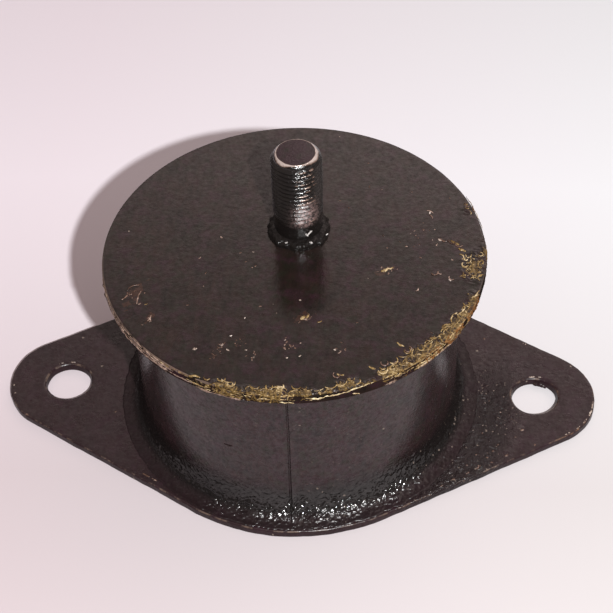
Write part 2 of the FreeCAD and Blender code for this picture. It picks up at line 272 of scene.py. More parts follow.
def grainOf(tree, place, sizes):
    cloud, peel = sizes
    return useGroup(tree, paintGrain, {"Place": place, "Cloud Size": cloud, "Peel Size": peel})


def wearOf(tree, place, lean, wear):
    amount, patch = wear
    worn = useGroup(tree, edgeWear, {"Place": place, "Lean": lean, "Amount": amount, "Patch Size": patch})
    return worn["Worn"]


def specksOf(tree, place, specks):
    spacing, share, size = specks
    return useGroup(tree, dustSpecks, {"Place": place, "Spacing": spacing, "Share": share, "Size": size})


# roughness that wanders between two limits
def roughOf(tree, place, scale, limits):
    return ramp(tree, speckle(tree, place, scale, 3.0), 0.35, 0.65, *limits)


# gloss that wanders between two limits: the film is thinner in some places than in others
def glossOf(tree, place, scale, limits):
    return ramp(tree, speckle(tree, place, scale, 4.0, 0.75), 0.34, 0.66, *limits)


# 0 on a level top, 1 on the outer side of an edge
def outsideOf(tree, lean):
    return ramp(tree, axes(tree, lean)["Z"], 0.93, 0.5)


# in the finishes grain is cloud and peel size, wear is amount and patch size, dust and grit are spacing,
# share and size, a pair of rough or gloss is its limits, relief is in mm and what fades by place in metres
gritSector = (41.0, 58.0, -20.0, 38.0)    # overspray right of the block
plateFinish = dict(grain=(8.0, 0.9), wear=(0.62, 3.0), dust=(3.4, 0.13, 0.09), grit=(1.0, 0.6, 0.2),
                   rough=(0.24, 0.36), gloss=(0.32, 0.68), sideGloss=0.28, rustyTip=(0.066, 0.077),
                   gritBump=5.0, relief=0.16)


def makePlatePaint(p):
    material, tree, shader, place = newMaterial("blackPlatePaint")
    grain = grainOf(tree, place, p["grain"])
    lean = put(tree, "NewGeometry").outputs["Normal"]
    worn = wearOf(tree, place, lean, p["wear"])
    dust = specksOf(tree, place, p["dust"])
    lumpy = sector(tree, place, *gritSector)
    colour = plateColour(tree, place, grain["Clouds"])
    colour = blend(tree, times(tree, lumpy, 0.55), colour, finish["rubberFoot"])
    tip = times(tree, ramp(tree, axes(tree, place)["X"], *p["rustyTip"]), worn)
    edgeColour = blend(tree, tip, finish["wornEdge"], finish["crustOrange"])
    colour = blend(tree, times(tree, worn, 0.8), colour, edgeColour)
    grit = specksOf(tree, place, p["grit"])
    gritTone = ramp(tree, grit["Tone"], 0.0, 1.0, 0.02, 0.6)
    gritty = times(tree, times(tree, grit["Specks"], lumpy), gritTone)
    specks = sums(tree, "MAXIMUM", times(tree, dust["Specks"], 0.45), gritty)
    tree.links.new(blend(tree, specks, colour, finish["dust"]), shader.inputs["Base Color"])
    rough = roughOf(tree, place, 260.0, p["rough"])
    tree.links.new(timesPlus(tree, lumpy, -0.12, rough), shader.inputs["Roughness"])
    kept = ramp(tree, outsideOf(tree, lean), 0.0, 1.0, 1.0, p["sideGloss"])
    gloss = times(tree, kept, glossOf(tree, place, 700.0, p["gloss"]))
    tree.links.new(gloss, shader.inputs["Specular IOR Level"])
    lumps = times(tree, speckle(tree, place, 1100.0, 3.0, 0.6), lumpy)
    height = timesPlus(tree, lumps, p["gritBump"], times(tree, grain["Peel"], 0.5))
    bump(tree, shader, height, p["relief"])
    return material


# the two sectors are of the rim: rubbed on the left of the front, rusty orange on the right
# rust smears by middle x and y, half length, half width and turn
discFinish = dict(grain=(7.0, 1.0), wear=(0.8, 6.0), dust=(3.2, 0.16, 0.08), rough=(0.13, 0.21),
                  gloss=(0.33, 0.67), rubbedSector=(40.0, 60.0, -140.0, 44.0),
                  orangeSector=(40.0, 60.0, -26.0, 30.0), crustFrom=1.18, crustBump=2.2, relief=0.028,
                  smears=[(-37.4, -16.4, 3.6, 1.1, 68), (-33.2, -24.2, 1.6, 0.6, 65),
                          (3.6, -22.4, 1.9, 1.1, 20), (22.6, -5.9, 2.3, 0.8, 38)])


# the crust covers where its stored strength, its curls and a torn noise add up to enough
def crustCover(tree, place, curls, p):
    torn = speckle(tree, place, 1300.0, 4.0, 0.65, 0.6)
    cover = timesPlus(tree, torn, 0.7, timesPlus(tree, curls, 0.45, stored(tree, "crust")))
    return times(tree, minus(tree, cover, p["crustFrom"]), 7.0, clamp=True)


def crustShades(tree, place, curls):
    grit = ramp(tree, speckle(tree, place, 1700.0, 3.0, 0.7, 0.8), 0.36, 0.72, -0.16, 0.44)
    wide = ramp(tree, speckle(tree, place, 420.0, 2.0), 0.38, 0.64, -0.12, 0.16)
    tone = timesPlus(tree, curls, 0.55, sums(tree, "ADD", grit, wide))
    return threeTones(tree, tone, finish["crustDark"], finish["crust"], finish["crustPale"], 0.55)


def makeDiscPaint(p):
    material, tree, shader, place = newMaterial("blackDiscPaint")
    grain = grainOf(tree, place, p["grain"])
    dust = specksOf(tree, place, p["dust"])
    colour = blend(tree, grain["Clouds"], finish["paintDark"], finish["paintLight"])
    colour = mottled(tree, place, colour)
    for x, y, length, width, turn in p["smears"]:
        smear = useGroup(tree, patchMask, {"Place": place, "Middle X": x, "Middle Y": y, "Turn": turn,
                                           "Half Length": length, "Half Width": width, "Ragged": 1.6})
        colour = blend(tree, times(tree, smear["Patch"], 0.6), colour, finish["rust"])
    colour = blend(tree, times(tree, dust["Specks"], 0.5), colour, finish["dust"])
    lean = put(tree, "NewGeometry").outputs["Normal"]
    rubbed = ramp(tree, sector(tree, place, *p["rubbedSector"]), 0, 1, 0.2, 1.0)
    rubbed = times(tree, wearOf(tree, place, lean, p["wear"]), rubbed)
    colour = blend(tree, rubbed, colour, finish["wornEdge"])
    curls = stored(tree, "curl")
    crustMask = crustCover(tree, place, curls, p)
    outside = outsideOf(tree, lean)
    orange = times(tree, times(tree, outside, sector(tree, place, *p["orangeSector"])), 0.7)
    shades = blend(tree, orange, crustShades(tree, place, curls), finish["crustOrange"])
    tree.links.new(blend(tree, crustMask, colour, shades), shader.inputs["Base Color"])
    gloss = times(tree, minus(tree, 1.0, outside), glossOf(tree, place, 800.0, p["gloss"]))
    tree.links.new(gloss, shader.inputs["Specular IOR Level"])
    rough = timesPlus(tree, outside, 0.35, roughOf(tree, place, 240.0, p["rough"]))
    tree.links.new(timesPlus(tree, crustMask, 0.25, rough), shader.inputs["Roughness"])
    bump(tree, shader, timesPlus(tree, crustMask, p["crustBump"], grain["Peel"]), p["relief"])
    return material


# lowFade: the run-out below it is darker and glossier; ledgeFade: the plate's overspray lies below it
rubberFinish = dict(grain=(6.0, 0.8), dust=(3.0, 0.12, 0.08), grit=(1.3, 0.45, 0.2), rough=(0.18, 0.28),
                    gloss=(0.17, 0.49), ledgeGloss=0.62, frontGloss=0.4,
                    frontSector=(41.0, 50.0, -74.0, 44.0), lowFade=(0.0135, 0.0085),
                    ledgeFade=(0.0040, 0.0026), scuffFrom=(0.0005, 0.003), scuffTo=(0.021, 0.013),
                    coarseBump=2.6, relief=0.07)


def makeRubber(p):
    material, tree, shader, place = newMaterial("blackRubber")
    grain = grainOf(tree, place, p["grain"])
    dust = specksOf(tree, place, p["dust"])
    split = axes(tree, place)
    colour = blend(tree, grain["Clouds"], finish["rubberDark"], finish["rubberLight"])
    colour = mottled(tree, place, colour)
    low = ramp(tree, split["Z"], *p["lowFade"])
    colour = blend(tree, low, colour, finish["rubberFoot"])
    ledge = ramp(tree, split["Z"], *p["ledgeFade"])
    colour = blend(tree, times(tree, ledge, 0.6), colour, plateColour(tree, place, grain["Clouds"]))
    gloss = glossOf(tree, place, 900.0, p["gloss"])
    gloss = times(tree, gloss, ramp(tree, ledge, 0.0, 1.0, 1.0, p["ledgeGloss"]))
    front = times(tree, sector(tree, place, *p["frontSector"]), low)
    tree.links.new(timesPlus(tree, front, p["frontGloss"], gloss), shader.inputs["Specular IOR Level"])
    # right of the seam the skin is scuffed
    scuffed = times(tree, ramp(tree, split["X"], *p["scuffFrom"]), ramp(tree, split["X"], *p["scuffTo"]))
    scuffed = times(tree, scuffed, ramp(tree, speckle(tree, place, 190.0, 3.0, 0.6), 0.42, 0.58))
    grit = specksOf(tree, place, p["grit"])
    right = times(tree, sector(tree, place, *gritSector), low)
    gritty = timesPlus(tree, right, 0.5, timesPlus(tree, scuffed, 0.3, 0.06))
    gritty = times(tree, times(tree, grit["Specks"], grit["Tone"]), gritty)
    specks = sums(tree, "MAXIMUM", times(tree, dust["Specks"], 0.35), gritty)
    tree.links.new(blend(tree, specks, colour, finish["dust"]), shader.inputs["Base Color"])
    rough = timesPlus(tree, low, -0.13, roughOf(tree, place, 380.0, p["rough"]))
    tree.links.new(timesPlus(tree, ledge, 0.20, rough), shader.inputs["Roughness"])
    coarse = sums(tree, "MAXIMUM", timesPlus(tree, low, 0.3, 0.14), scuffed)
    coarse = times(tree, speckle(tree, place, 1500.0, 3.0, 0.65), coarse)
    bump(tree, shader, timesPlus(tree, coarse, p["coarseBump"], grain["Peel"]), p["relief"])
    return material


studFinish = dict(grain=(3.0, 0.6), rough=(0.10, 0.20), rubbedRough=0.25, metal=0.3, relief=0.12)


def makeStudSteel(p):
    material, tree, shader, place = newMaterial("paintedThread")
    grain = grainOf(tree, place, p["grain"])
    torn = speckle(tree, place, 700.0, 4.0, 0.65)
    # the stored mark is real bare steel on the worn cone and also painted glints on the crests and a
    # painted highlight round the end's corner
    bareAndGlintLevel = sums(tree, "ADD", stored(tree, "bareAndGlint"), torn)
    mask = times(tree, minus(tree, bareAndGlintLevel, 0.95), 7.0, clamp=True)
    steel = blend(tree, ramp(tree, bareAndGlintLevel, 1.05, 1.4), finish["brownSteel"], finish["bareSteel"])
    lean = put(tree, "NewGeometry").outputs["Normal"]
    # faces that look straight up, the end of the stud, are painted a lighter plum: painted light on the top
    # face
    level = ramp(tree, axes(tree, lean)["Z"], 0.9, 0.97, 0.0, 0.9)
    colour = blend(tree, grain["Clouds"], finish["rubberFoot"], finish["paintDark"])
    colour = blend(tree, level, colour, mottled(tree, place, finish["paintPlum"]))
    colour = blend(tree, mask, colour, steel)
    rubbed = stored(tree, "rubbed")
    scraped = ramp(tree, speckle(tree, place, 1500.0, 4.0, 0.75), 0.44, 0.56)
    colour = blend(tree, times(tree, rubbed, scraped), colour, finish["rubbedSteel"])
    tree.links.new(colour, shader.inputs["Base Color"])
    tree.links.new(times(tree, mask, p["metal"]), shader.inputs["Metallic"])
    rough = ramp(tree, torn, 0.3, 0.7, *p["rough"])
    tree.links.new(timesPlus(tree, rubbed, p["rubbedRough"], rough), shader.inputs["Roughness"])
    fine = speckle(tree, place, 2200.0, 3.0, 0.7)
    bump(tree, shader, timesPlus(tree, fine, 0.5, grain["Peel"]), p["relief"])
    return material


beadFinish = dict(grain=(3.0, 0.7), dust=(2.2, 0.2, 0.12), rough=(0.10, 0.34), gloss=0.24, relief=0.16)


def makeWeldPaint(p):
    material, tree, shader, place = newMaterial("paintedBead")
    grain = grainOf(tree, place, p["grain"])
    dust = specksOf(tree, place, p["dust"])
    colour = blend(tree, grain["Clouds"], finish["rubberFoot"], finish["paintDark"])
    colour = blend(tree, times(tree, dust["Specks"], 0.35), colour, finish["dust"])
    tree.links.new(colour, shader.inputs["Base Color"])
    shader.inputs["Specular IOR Level"].default_value = p["gloss"]
    tree.links.new(ramp(tree, grain["Peel"], 0.3, 0.7, *p["rough"]), shader.inputs["Roughness"])
    bump(tree, shader, grain["Peel"], p["relief"])
    return material


# flakes of coating, rust and bare metal, and pale pieces that are painted highlights: dark, middle and pale
# tone
flakeTones = dict(
    goldenFlake=((0.060, 0.030, 0.010, 1), (0.27, 0.175, 0.060, 1), (0.72, 0.58, 0.36, 1)),
    paleFleckAndGlint=((0.14, 0.10, 0.085, 1), (0.42, 0.33, 0.27, 1), (0.82, 0.74, 0.69, 1)),
    beadGlintPale=((0.20, 0.18, 0.17, 1), (0.50, 0.47, 0.45, 1), (0.88, 0.86, 0.84, 1)),
    tanFlake=((0.045, 0.024, 0.018, 1), (0.20, 0.125, 0.090, 1), (0.52, 0.38, 0.29, 1)),
    goldGlint=((0.30, 0.20, 0.08, 1), (0.58, 0.46, 0.24, 1), (0.92, 0.84, 0.62, 1)),
    dullFlake=((0.040, 0.020, 0.014, 1), (0.14, 0.078, 0.055, 1), (0.50, 0.37, 0.31, 1)),
)


def makeFlake(name, dark, middle, pale):
    material, tree, shader, place = newMaterial(name)
    fine = ramp(tree, speckle(tree, place, 1300.0, 3.0, 0.7, 0.5), 0.32, 0.7, 0.0, 0.75)
    wide = ramp(tree, speckle(tree, place, 380.0, 2.0), 0.36, 0.64, -0.2, 0.35)
    tone = sums(tree, "ADD", fine, wide)
    tree.links.new(threeTones(tree, tone, dark, middle, pale, 0.5), shader.inputs["Base Color"])
    tree.links.new(ramp(tree, tone, 0.0, 1.0, 0.25, 0.5), shader.inputs["Roughness"])
    bump(tree, shader, speckle(tree, place, 3000.0, 2.0), 0.04)
    return material


platePaint = makePlatePaint(plateFinish)
discPaint = makeDiscPaint(discFinish)
rubber = makeRubber(rubberFinish)
studSteel = makeStudSteel(studFinish)
weldPaint = makeWeldPaint(beadFinish)
flakes = {name: makeFlake(name, *tones) for name, tones in flakeTones.items()}
print("finishes ready")


def show(thing):
    bpy.context.scene.collection.objects.link(thing)
    return thing


def toMesh(name, bm, material):
    mesh = bpy.data.meshes.new(name)
    bm.to_mesh(mesh)
    bm.free()
    mesh.materials.append(material)
    return mesh


def addPiece(name, bm, material, nodeName=None, sharpAngle=None):
    mesh = toMesh(name, bm, material)
    mesh.shade_smooth()
    if sharpAngle:
        mesh.set_sharp_from_angle(angle=math.radians(sharpAngle))
    piece = show(bpy.data.objects.new(name, mesh))
    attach(piece, "root")
    if nodeName:
        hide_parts(nodeName)
    print(name, "has", sum(len(face.vertices) - 2 for face in mesh.polygons), "triangles")
    return piece


def unit(value):
    return max(0.0, min(1.0, value))


# noise whose swells are about so many mm apart
def swell(place, size, shift=Vector((0, 0, 0))):
    return noise.noise(place * 1000 / size + shift)


def everything(bm):
    return bm.verts[:] + bm.edges[:] + bm.faces[:]


# points on the line between two corners, no further apart than the step
def divided(start, end, step):
    count = max(1, math.ceil(math.dist(start, end) / step))
    across, rise = end[0] - start[0], end[1] - start[1]
    return [start] + [(start[0] + across * i / count, start[1] + rise * i / count)
                      for i in range(1, count + 1)]


def quarterRound(middle, radius, start, end, steps):
    angles = [math.radians(start + (end - start) * i / steps) for i in range(steps + 1)]
    return [(middle[0] + radius * math.cos(a), middle[1] + radius * math.sin(a)) for a in angles]


# radius and height pairs in mm, turned about an upright axis: one wedge first, then its copies
def spinProfile(points, steps, axis=Vector((0, 0, 0)), wedges=10):
    bm = bmesh.new()
    line = [bm.verts.new((axis.x + radius * mm, axis.y, height * mm)) for radius, height in points]
    edges = [bm.edges.new(pair) for pair in zip(line, line[1:])]
    wedge = math.tau / wedges
    bmesh.ops.spin(bm, geom=line + edges, cent=axis, axis=up, angle=wedge, steps=steps // wedges)
    bmesh.ops.spin(bm, geom=everything(bm), cent=axis, axis=up,
                   angle=math.tau - wedge, steps=wedges - 1, use_duplicate=True)
    bmesh.ops.remove_doubles(bm, verts=bm.verts, dist=0.001 * mm)
    bmesh.ops.recalc_face_normals(bm, faces=bm.faces)
    return bm


def azimuth(place):
    return math.degrees(math.atan2(place.y, place.x))


# 1 inside a range of azimuths, fading out over soft degrees
def within(angle, start, end, soft=4.0):
    return unit(min((angle - start) / soft + 0.5, (end - angle) / soft + 0.5))


def joinInto(bm, loose):
    mesh = bpy.data.meshes.new("loose")
    loose.to_mesh(mesh)
    loose.free()
    bm.from_mesh(mesh)
    bpy.data.meshes.remove(mesh)


# a thin ribbon of loosened coating, bent in its own plane and lifted at its ends
def addStrand(bm, place, length, width, turn, bend, lift, tilt, thickness=0.11):
    strand = bmesh.new()
    bmesh.ops.create_grid(strand, x_segments=10, y_segments=1, size=0.5)
    bend = bend if abs(bend) > 0.1 else 0.1
    for vert in strand.verts:
        along, side = vert.co.x, vert.co.y
        angle = along * bend
        middle = Vector((math.sin(angle), 1 - math.cos(angle), 0)) * length / bend
        ragged = 1 + 0.7 * noise.noise(place * 700 + Vector((along * 4, side, 0)))
        half = side * width * (1 - 1.5 * abs(along) ** 1.5) * ragged
        middle += Vector((-math.sin(angle), math.cos(angle), 0)) * half
        wavy = noise.noise(place * 500 + Vector((along * 5, 0, 0)))
        middle.z = lift * 4 * along * along * length + 0.25 * width * wavy
        vert.co = middle
    bmesh.ops.solidify(strand, geom=strand.faces[:], thickness=thickness)
    bmesh.ops.recalc_face_normals(strand, faces=strand.faces)
    turned = (Matrix.Translation(place / mm) @ Matrix.Rotation(math.radians(turn), 4, "Z")
              @ Matrix.Rotation(math.radians(tilt), 4, "X"))
    bmesh.ops.transform(strand, matrix=Matrix.Scale(mm, 4) @ turned, verts=strand.verts)
    joinInto(bm, strand)


# base plate: two lugs and a round middle, joined by straight flanks
basePlate = dict(bodyRadius=48.0, lugRadius=15.875, lugCentre=62.7, holeRadius=5.85,
                 edgeRound=0.5, lugSteps=26, bodySteps=44, flankCuts=70, holeSteps=80, rim=1.4,
                 wobble=0.16, rollOver=0.55, rollDepth=1.2, rollReach=0.7)


def makeBasePlate(p):
    bm = bmesh.new()
    thickness = plateHigh.z - plateLow.z
    lean = math.acos((p["bodyRadius"] - p["lugRadius"]) / p["lugCentre"])
    lugCentre = Vector((p["lugCentre"] * mm, 0, 0))
    tip = bm.verts.new((plateHigh.x, 0, 0))
    lugArc = bmesh.ops.spin(bm, geom=[tip], cent=lugCentre, axis=up, angle=lean, steps=p["lugSteps"])
    side = Vector((math.cos(lean), math.sin(lean), 0)) * p["bodyRadius"] * mm
    shoulder = bm.verts.new(side)
    bmesh.ops.spin(bm, geom=[shoulder], cent=(0, 0, 0), axis=up, angle=math.pi / 2 - lean,
                   steps=p["bodySteps"])
    lugEnd = next(v for v in lugArc["geom_last"] if isinstance(v, bmesh.types.BMVert))
    flank = bm.edges.new((lugEnd, shoulder))
    bmesh.ops.subdivide_edges(bm, edges=[flank], cuts=p["flankCuts"])
    bmesh.ops.mirror(bm, geom=bm.verts[:] + bm.edges[:], axis="Y", merge_dist=0.001 * mm)
    bmesh.ops.mirror(bm, geom=bm.verts[:] + bm.edges[:], axis="X", merge_dist=0.001 * mm)
    bmesh.ops.remove_doubles(bm, verts=bm.verts, dist=0.001 * mm)
    for sign in (-1, 1):
        bmesh.ops.create_circle(bm, segments=p["holeSteps"], radius=p["holeRadius"] * mm,
                                matrix=Matrix.Translation(lugCentre * sign))
    bmesh.ops.triangle_fill(bm, edges=bm.edges[:], use_beauty=True)
    bmesh.ops.recalc_face_normals(bm, faces=bm.faces)
    bmesh.ops.inset_region(bm, faces=bm.faces[:], thickness=p["rim"] * mm, use_boundary=True,
                           use_even_offset=True)
    raised = bmesh.ops.extrude_face_region(bm, geom=bm.faces[:])
    bmesh.ops.translate(bm, vec=(0, 0, thickness),
                        verts=[v for v in raised["geom"] if isinstance(v, bmesh.types.BMVert)])
    bmesh.ops.recalc_face_normals(bm, faces=bm.faces)
    corners = [e for e in bm.edges if e.calc_face_angle(0) > 1]
    bmesh.ops.bevel(bm, geom=corners, offset=p["edgeRound"] * mm, segments=4, affect="EDGES",
                    profile=0.5, material=-1)
    for vert in bm.verts:   # the punch drew the top edge of each hole down and outward
        hole = lugCentre if vert.co.x > 0 else -lugCentre
        away = Vector((vert.co.x - hole.x, vert.co.y, 0))
        rolled = max(0.0, (vert.co.z - plateHigh.z) / mm + p["rollDepth"]) / p["rollDepth"]
        if away.length < (p["holeRadius"] + p["rollReach"]) * mm:
            vert.co += away.normalized() * p["rollOver"] * rolled ** 1.5 * mm
    for vert in bm.verts:   # sheared edge, never quite true
        flat = Vector((vert.co.x, vert.co.y, 0))
        drift = noise.fractal(flat * 160, 0.8, 2.0, 4)
        vert.co += flat.normalized() * drift * p["wobble"] * mm
    return bm


plateObject = addPiece("base_plate_painted", makeBasePlate(basePlate), platePaint,
                       "base_plate")
weighted = plateObject.modifiers.new("flatTop", "WEIGHTED_NORMAL")
weighted.keep_sharp = True


# burrs left by the press: middle x, y and z, length, width, turn, bend and tilt of each
plateBurrs = [(64.3, 4.75, 1.35, 3.6, 1.1, -22, -0.9, 62), (62.6, 6.45, 2.2, 2.2, 0.35, 4, -0.5, 20),
              (60.5, 19.3, 2.0, 1.2, 0.5, -27, 0.4, 30), (-53.4, -22.7, 0.9, 1.6, 0.7, -27, 0.3, 70),
              (-64.6, 6.5, 2.25, 2.4, 0.22, -12, -0.5, 10), (54.9, -8.0, 2.32, 6.2, 0.26, 0, -1.8, 0)]

# chips on the plate: x, y, length, width and turn of each
plateChips = [(59.2, -12.1, 0.9, 0.6, 20), (62.4, -17.0, 0.7, 0.5, 60), (57.4, -14.6, 0.6, 0.5, 0),
              (55.0, -20.8, 1.0, 0.6, 40), (50.2, 3.0, 0.7, 0.3, 10), (49.4, 20.2, 0.7, 0.6, 70),
              (-37.6, -31.6, 2.2, 0.5, -30), (-35.2, -32.9, 1.6, 0.4, -31), (-72.0, -12.4, 0.9, 0.4, -30),
              (-48.6, -10.4, 0.7, 0.4, 10), (48.0, -24.6, 0.8, 0.5, 0), (45.0, -27.2, 0.9, 0.5, 30),
              (51.6, -19.6, 0.7, 0.5, 20), (52.8, -17.4, 0.5, 0.4, 70), (50.0, -21.8, 0.6, 0.4, 0),
              (47.2, -21.0, 0.6, 0.4, 30), (51.2, -23.4, 0.8, 0.4, -20), (47.6, -25.4, 0.9, 0.4, 60),
              (41.4, -29.4, 0.9, 0.5, 20), (38.4, -31.6, 1.0, 0.5, 40), (44.8, -24.6, 0.5, 0.4, 0),
              (50.6, -2.4, 0.5, 0.4, 30), (53.6, -6.2, 0.5, 0.3, 0), (48.8, -13.6, 0.5, 0.4, 80)]

# pale marks along the plate's edges and hole rims, painted highlights, by the same measures
plateGlints = [(62.2, 6.75, 1.8, 0.5, 8), (64.4, 6.7, 1.2, 0.35, -12), (60.4, 18.9, 1.0, 0.6, -27),
               (72.6, 11.1, 0.9, 0.5, -45), (77.9, -2.6, 2.6, 0.4, 80), (77.2, -5.4, 2.2, 0.5, 70),
               (75.7, -8.3, 1.8, 0.5, 57), (73.8, -10.6, 1.4, 0.4, 45), (71.0, -12.8, 1.6, 0.4, 32),
               (-65.8, 6.35, 1.2, 0.25, 25), (-62.8, 6.9, 1.6, 0.22, -2), (-77.4, -2.0, 0.7, 0.4, 90),
               (-76.6, -4.8, 0.8, 0.4, 70)]


def makePlateMarks(marks, height):
    bm = bmesh.new()
    for x, y, length, width, turn in marks:
        place = Vector((x * mm, y * mm, height))
        addStrand(bm, place, length, width, turn, 0.7 * noise.noise(place * 300), 0.01, 4, 0.08)
    return bm


# rubber block: straight side, small flare under the disc, wide lumpy run-out that thins to nothing
rubberBlock = dict(side=41.5, footRadius=47.4, footEdge=0.08, footFlare=10.5, headRadius=45.0,
                   headEdge=0.6, headFlare=5.0, footSpread=2.7, steps=960, lumps=0.8, lumpSize=0.8,
                   seamPlace=1.1, seamHeight=0.38, seamWidth=2.6, grooveDepth=0.28,
                   raggedHeight=2.0, raggedness=0.45, lipRise=0.34, lipFrontRise=0.3)


def makeRubberBlock(p):
    low, high = blockLow.z / mm, blockHigh.z / mm
    footReach, headReach = p["footRadius"] - p["side"], p["headRadius"] - p["side"]
    smallRound = (headReach ** 2 + p["headFlare"] ** 2) / (2 * headReach)
    headTurn = math.degrees(math.asin(p["headFlare"] / smallRound))
    footTop, headLow = low + p["footEdge"], high - p["headEdge"]
    power = 2 / p["footSpread"]    # above 2 the flare lies flat on the plate before it climbs
    foot = [(p["footRadius"] - footReach * abs(x) ** power,
             footTop + p["footFlare"] * (1 - abs(y) ** power))
            for x, y in quarterRound((0, 0), 1, 270, 180, 46)]
    head = quarterRound((p["side"] + smallRound, headLow - p["headFlare"]), smallRound,
                        180, 180 - headTurn, 8)
    wall = divided(foot[-1], head[0], 1.4)
    points = [(p["footRadius"] - 3, low), (p["footRadius"], low)]
    points += foot + wall[1:-1] + head + [(p["headRadius"], high), (p["headRadius"] - 4, high)]
    bm = spinProfile(points, p["steps"])
    seamEdges = [e for e in bm.edges
                 if all(abs(v.co.x - p["seamPlace"] * mm) < 1.8 * mm for v in e.verts)
                 and abs(e.verts[0].co.z - e.verts[1].co.z) < 0.001 * mm
                 and abs(e.verts[0].co.x - e.verts[1].co.x) > 0.1 * mm]
    bmesh.ops.subdivide_edges(bm, edges=seamEdges, cuts=2)
    seed = Vector((3.1, 7.7, 1.9))
    for vert in bm.verts:
        place = vert.co.copy()
        angle = azimuth(place)
        radius = math.hypot(place.x, place.y)
        outward = Vector((place.x, place.y, 0)) / radius
        height = place.z / mm - low
        flare = max(0.0, 1 - height / (p["footEdge"] + p["footFlare"])) ** 1.1
        flare *= 0.2 + 0.4 * within(angle, -140, -18, 50) + 0.45 * within(angle, -98, -42, 24)
        blob = swell(place, p["lumpSize"], seed) + 0.6 * swell(place, 0.5, seed)
        blob *= 0.35 + 1.1 * abs(swell(place, 4.5, seed))
        amount = p["lumps"] * flare * blob
        lip = max(0.0, 1 - abs(radius / mm - p["footRadius"] + 0.6) / 0.5) if height < 3 else 0.0
        amount *= 1 - lip
        amount += 0.05 * swell(place, 7.0)
        if height < p["raggedHeight"]:    # the run-out ends raggedly on the plate
            ragged = noise.noise(outward * 9.0 + seed) + 0.5 * noise.noise(outward * 31.0)
            amount += p["raggedness"] * ragged * (1 - height / p["raggedHeight"])
        # one half of the mould stands proud and dies away sideways
        across = place.x / mm - p["seamPlace"] - 0.2 * noise.noise(place * 45)
        step = unit((across + 0.15) / 0.3) * max(0.0, 1 - across / p["seamWidth"])
        groove = max(0.0, 1 - abs(across + 0.3) / 0.42)
        if radius < (p["footRadius"] - 1.0) * mm:
            amount += p["seamHeight"] * step - p["grooveDepth"] * groove
        vert.co += outward * amount * mm
        if height > 0.1:
            lipHeight = p["lipRise"] + p["lipFrontRise"] * within(angle, -100, -52, 16)
            vert.co.z += (0.5 * p["lumps"] * flare * blob * (1 - lip) + lipHeight * lip) * mm
            vert.co.z = max(vert.co.z, blockLow.z + 0.03 * mm)
    bmesh.ops.recalc_face_normals(bm, faces=bm.faces)
    return bm


addPiece("rubber_block_moulded", makeRubberBlock(rubberBlock), rubber, "rubber_block")


# top disc: rolled edge, with a crust of old coating broken up along the front and right of the rim
topDisc = dict(radius=47.625, edgeRound=0.45, steps=1200, inner=37.5, lowBand=2.0, crustBand=7.0,
               crustHeight=0.30, holeRadius=6.4)

# crust by azimuth: from, to, how far in from the edge, share of the rim's side and number of strands
crustZones = [
    (-126, -117, -0.6, 0.4, 2), (-117, -109, 0.2, 0.55, 8), (-109, -100, 1.3, 0.8, 30),
    (-100, -89, 2.0, 0.9, 40), (-89, -80, 1.6, 0.5, 22), (-80, -74, 0.9, 0.3, 10),
    (-74, -68, 2.6, 0.3, 16), (-68, -61, 0.5, 0.15, 8), (-61, -50, 2.8, 0.6, 42),
    (-50, -38, 3.0, 0.7, 54), (-38, -27, 2.8, 0.8, 52), (-27, -16, 2.0, 0.8, 34),
]


# patches of crust further in: middle x and y, half sizes, strength in the middle and its fall
crustPatches = [(44.8, -3.4, 3.3, 5.4, 1.15, 0.9), (47.2, 1.5, 1.3, 6.0, 1.05, 0.9),
                (43.0, 17.2, 1.6, 2.2, 0.9, 0.8)]


def crustStrength(place):
    angle = azimuth(place)
    inward = topDisc["radius"] - math.hypot(place.x, place.y) / mm
    wander = 1.3 * noise.noise(Vector((angle * 0.21, 3.0, 0)))
    wander += 0.9 * noise.noise(Vector((angle * 0.67, 9.0, 0)))
    onSide = place.z < discHigh.z - 0.3 * mm
    strength = 0.0
    for start, end, depth, side, _ in crustZones:
        cover = side if onSide else unit((depth + wander - inward) / 0.8 + 0.4)
        strength = max(strength, within(angle, start, end, 2.5) * cover)
    for x, y, halfX, halfY, top, fall in crustPatches:
        off = math.hypot((place.x / mm - x) / halfX, (place.y / mm - y) / halfY)
        strength = max(strength, top - off * fall)
    return unit(strength)


# raised scribbles in the crust, 1 on their crest
def curlHeight(place):
    wide = swell(place, 2.1, Vector((1.3, 4.1, 0)))
    tight = swell(place, 1.3, Vector((7.9, 2.2, 0)))
    return max(0.0, 1 - abs(wide) / 0.14, 0.8 - abs(tight) / 0.17)


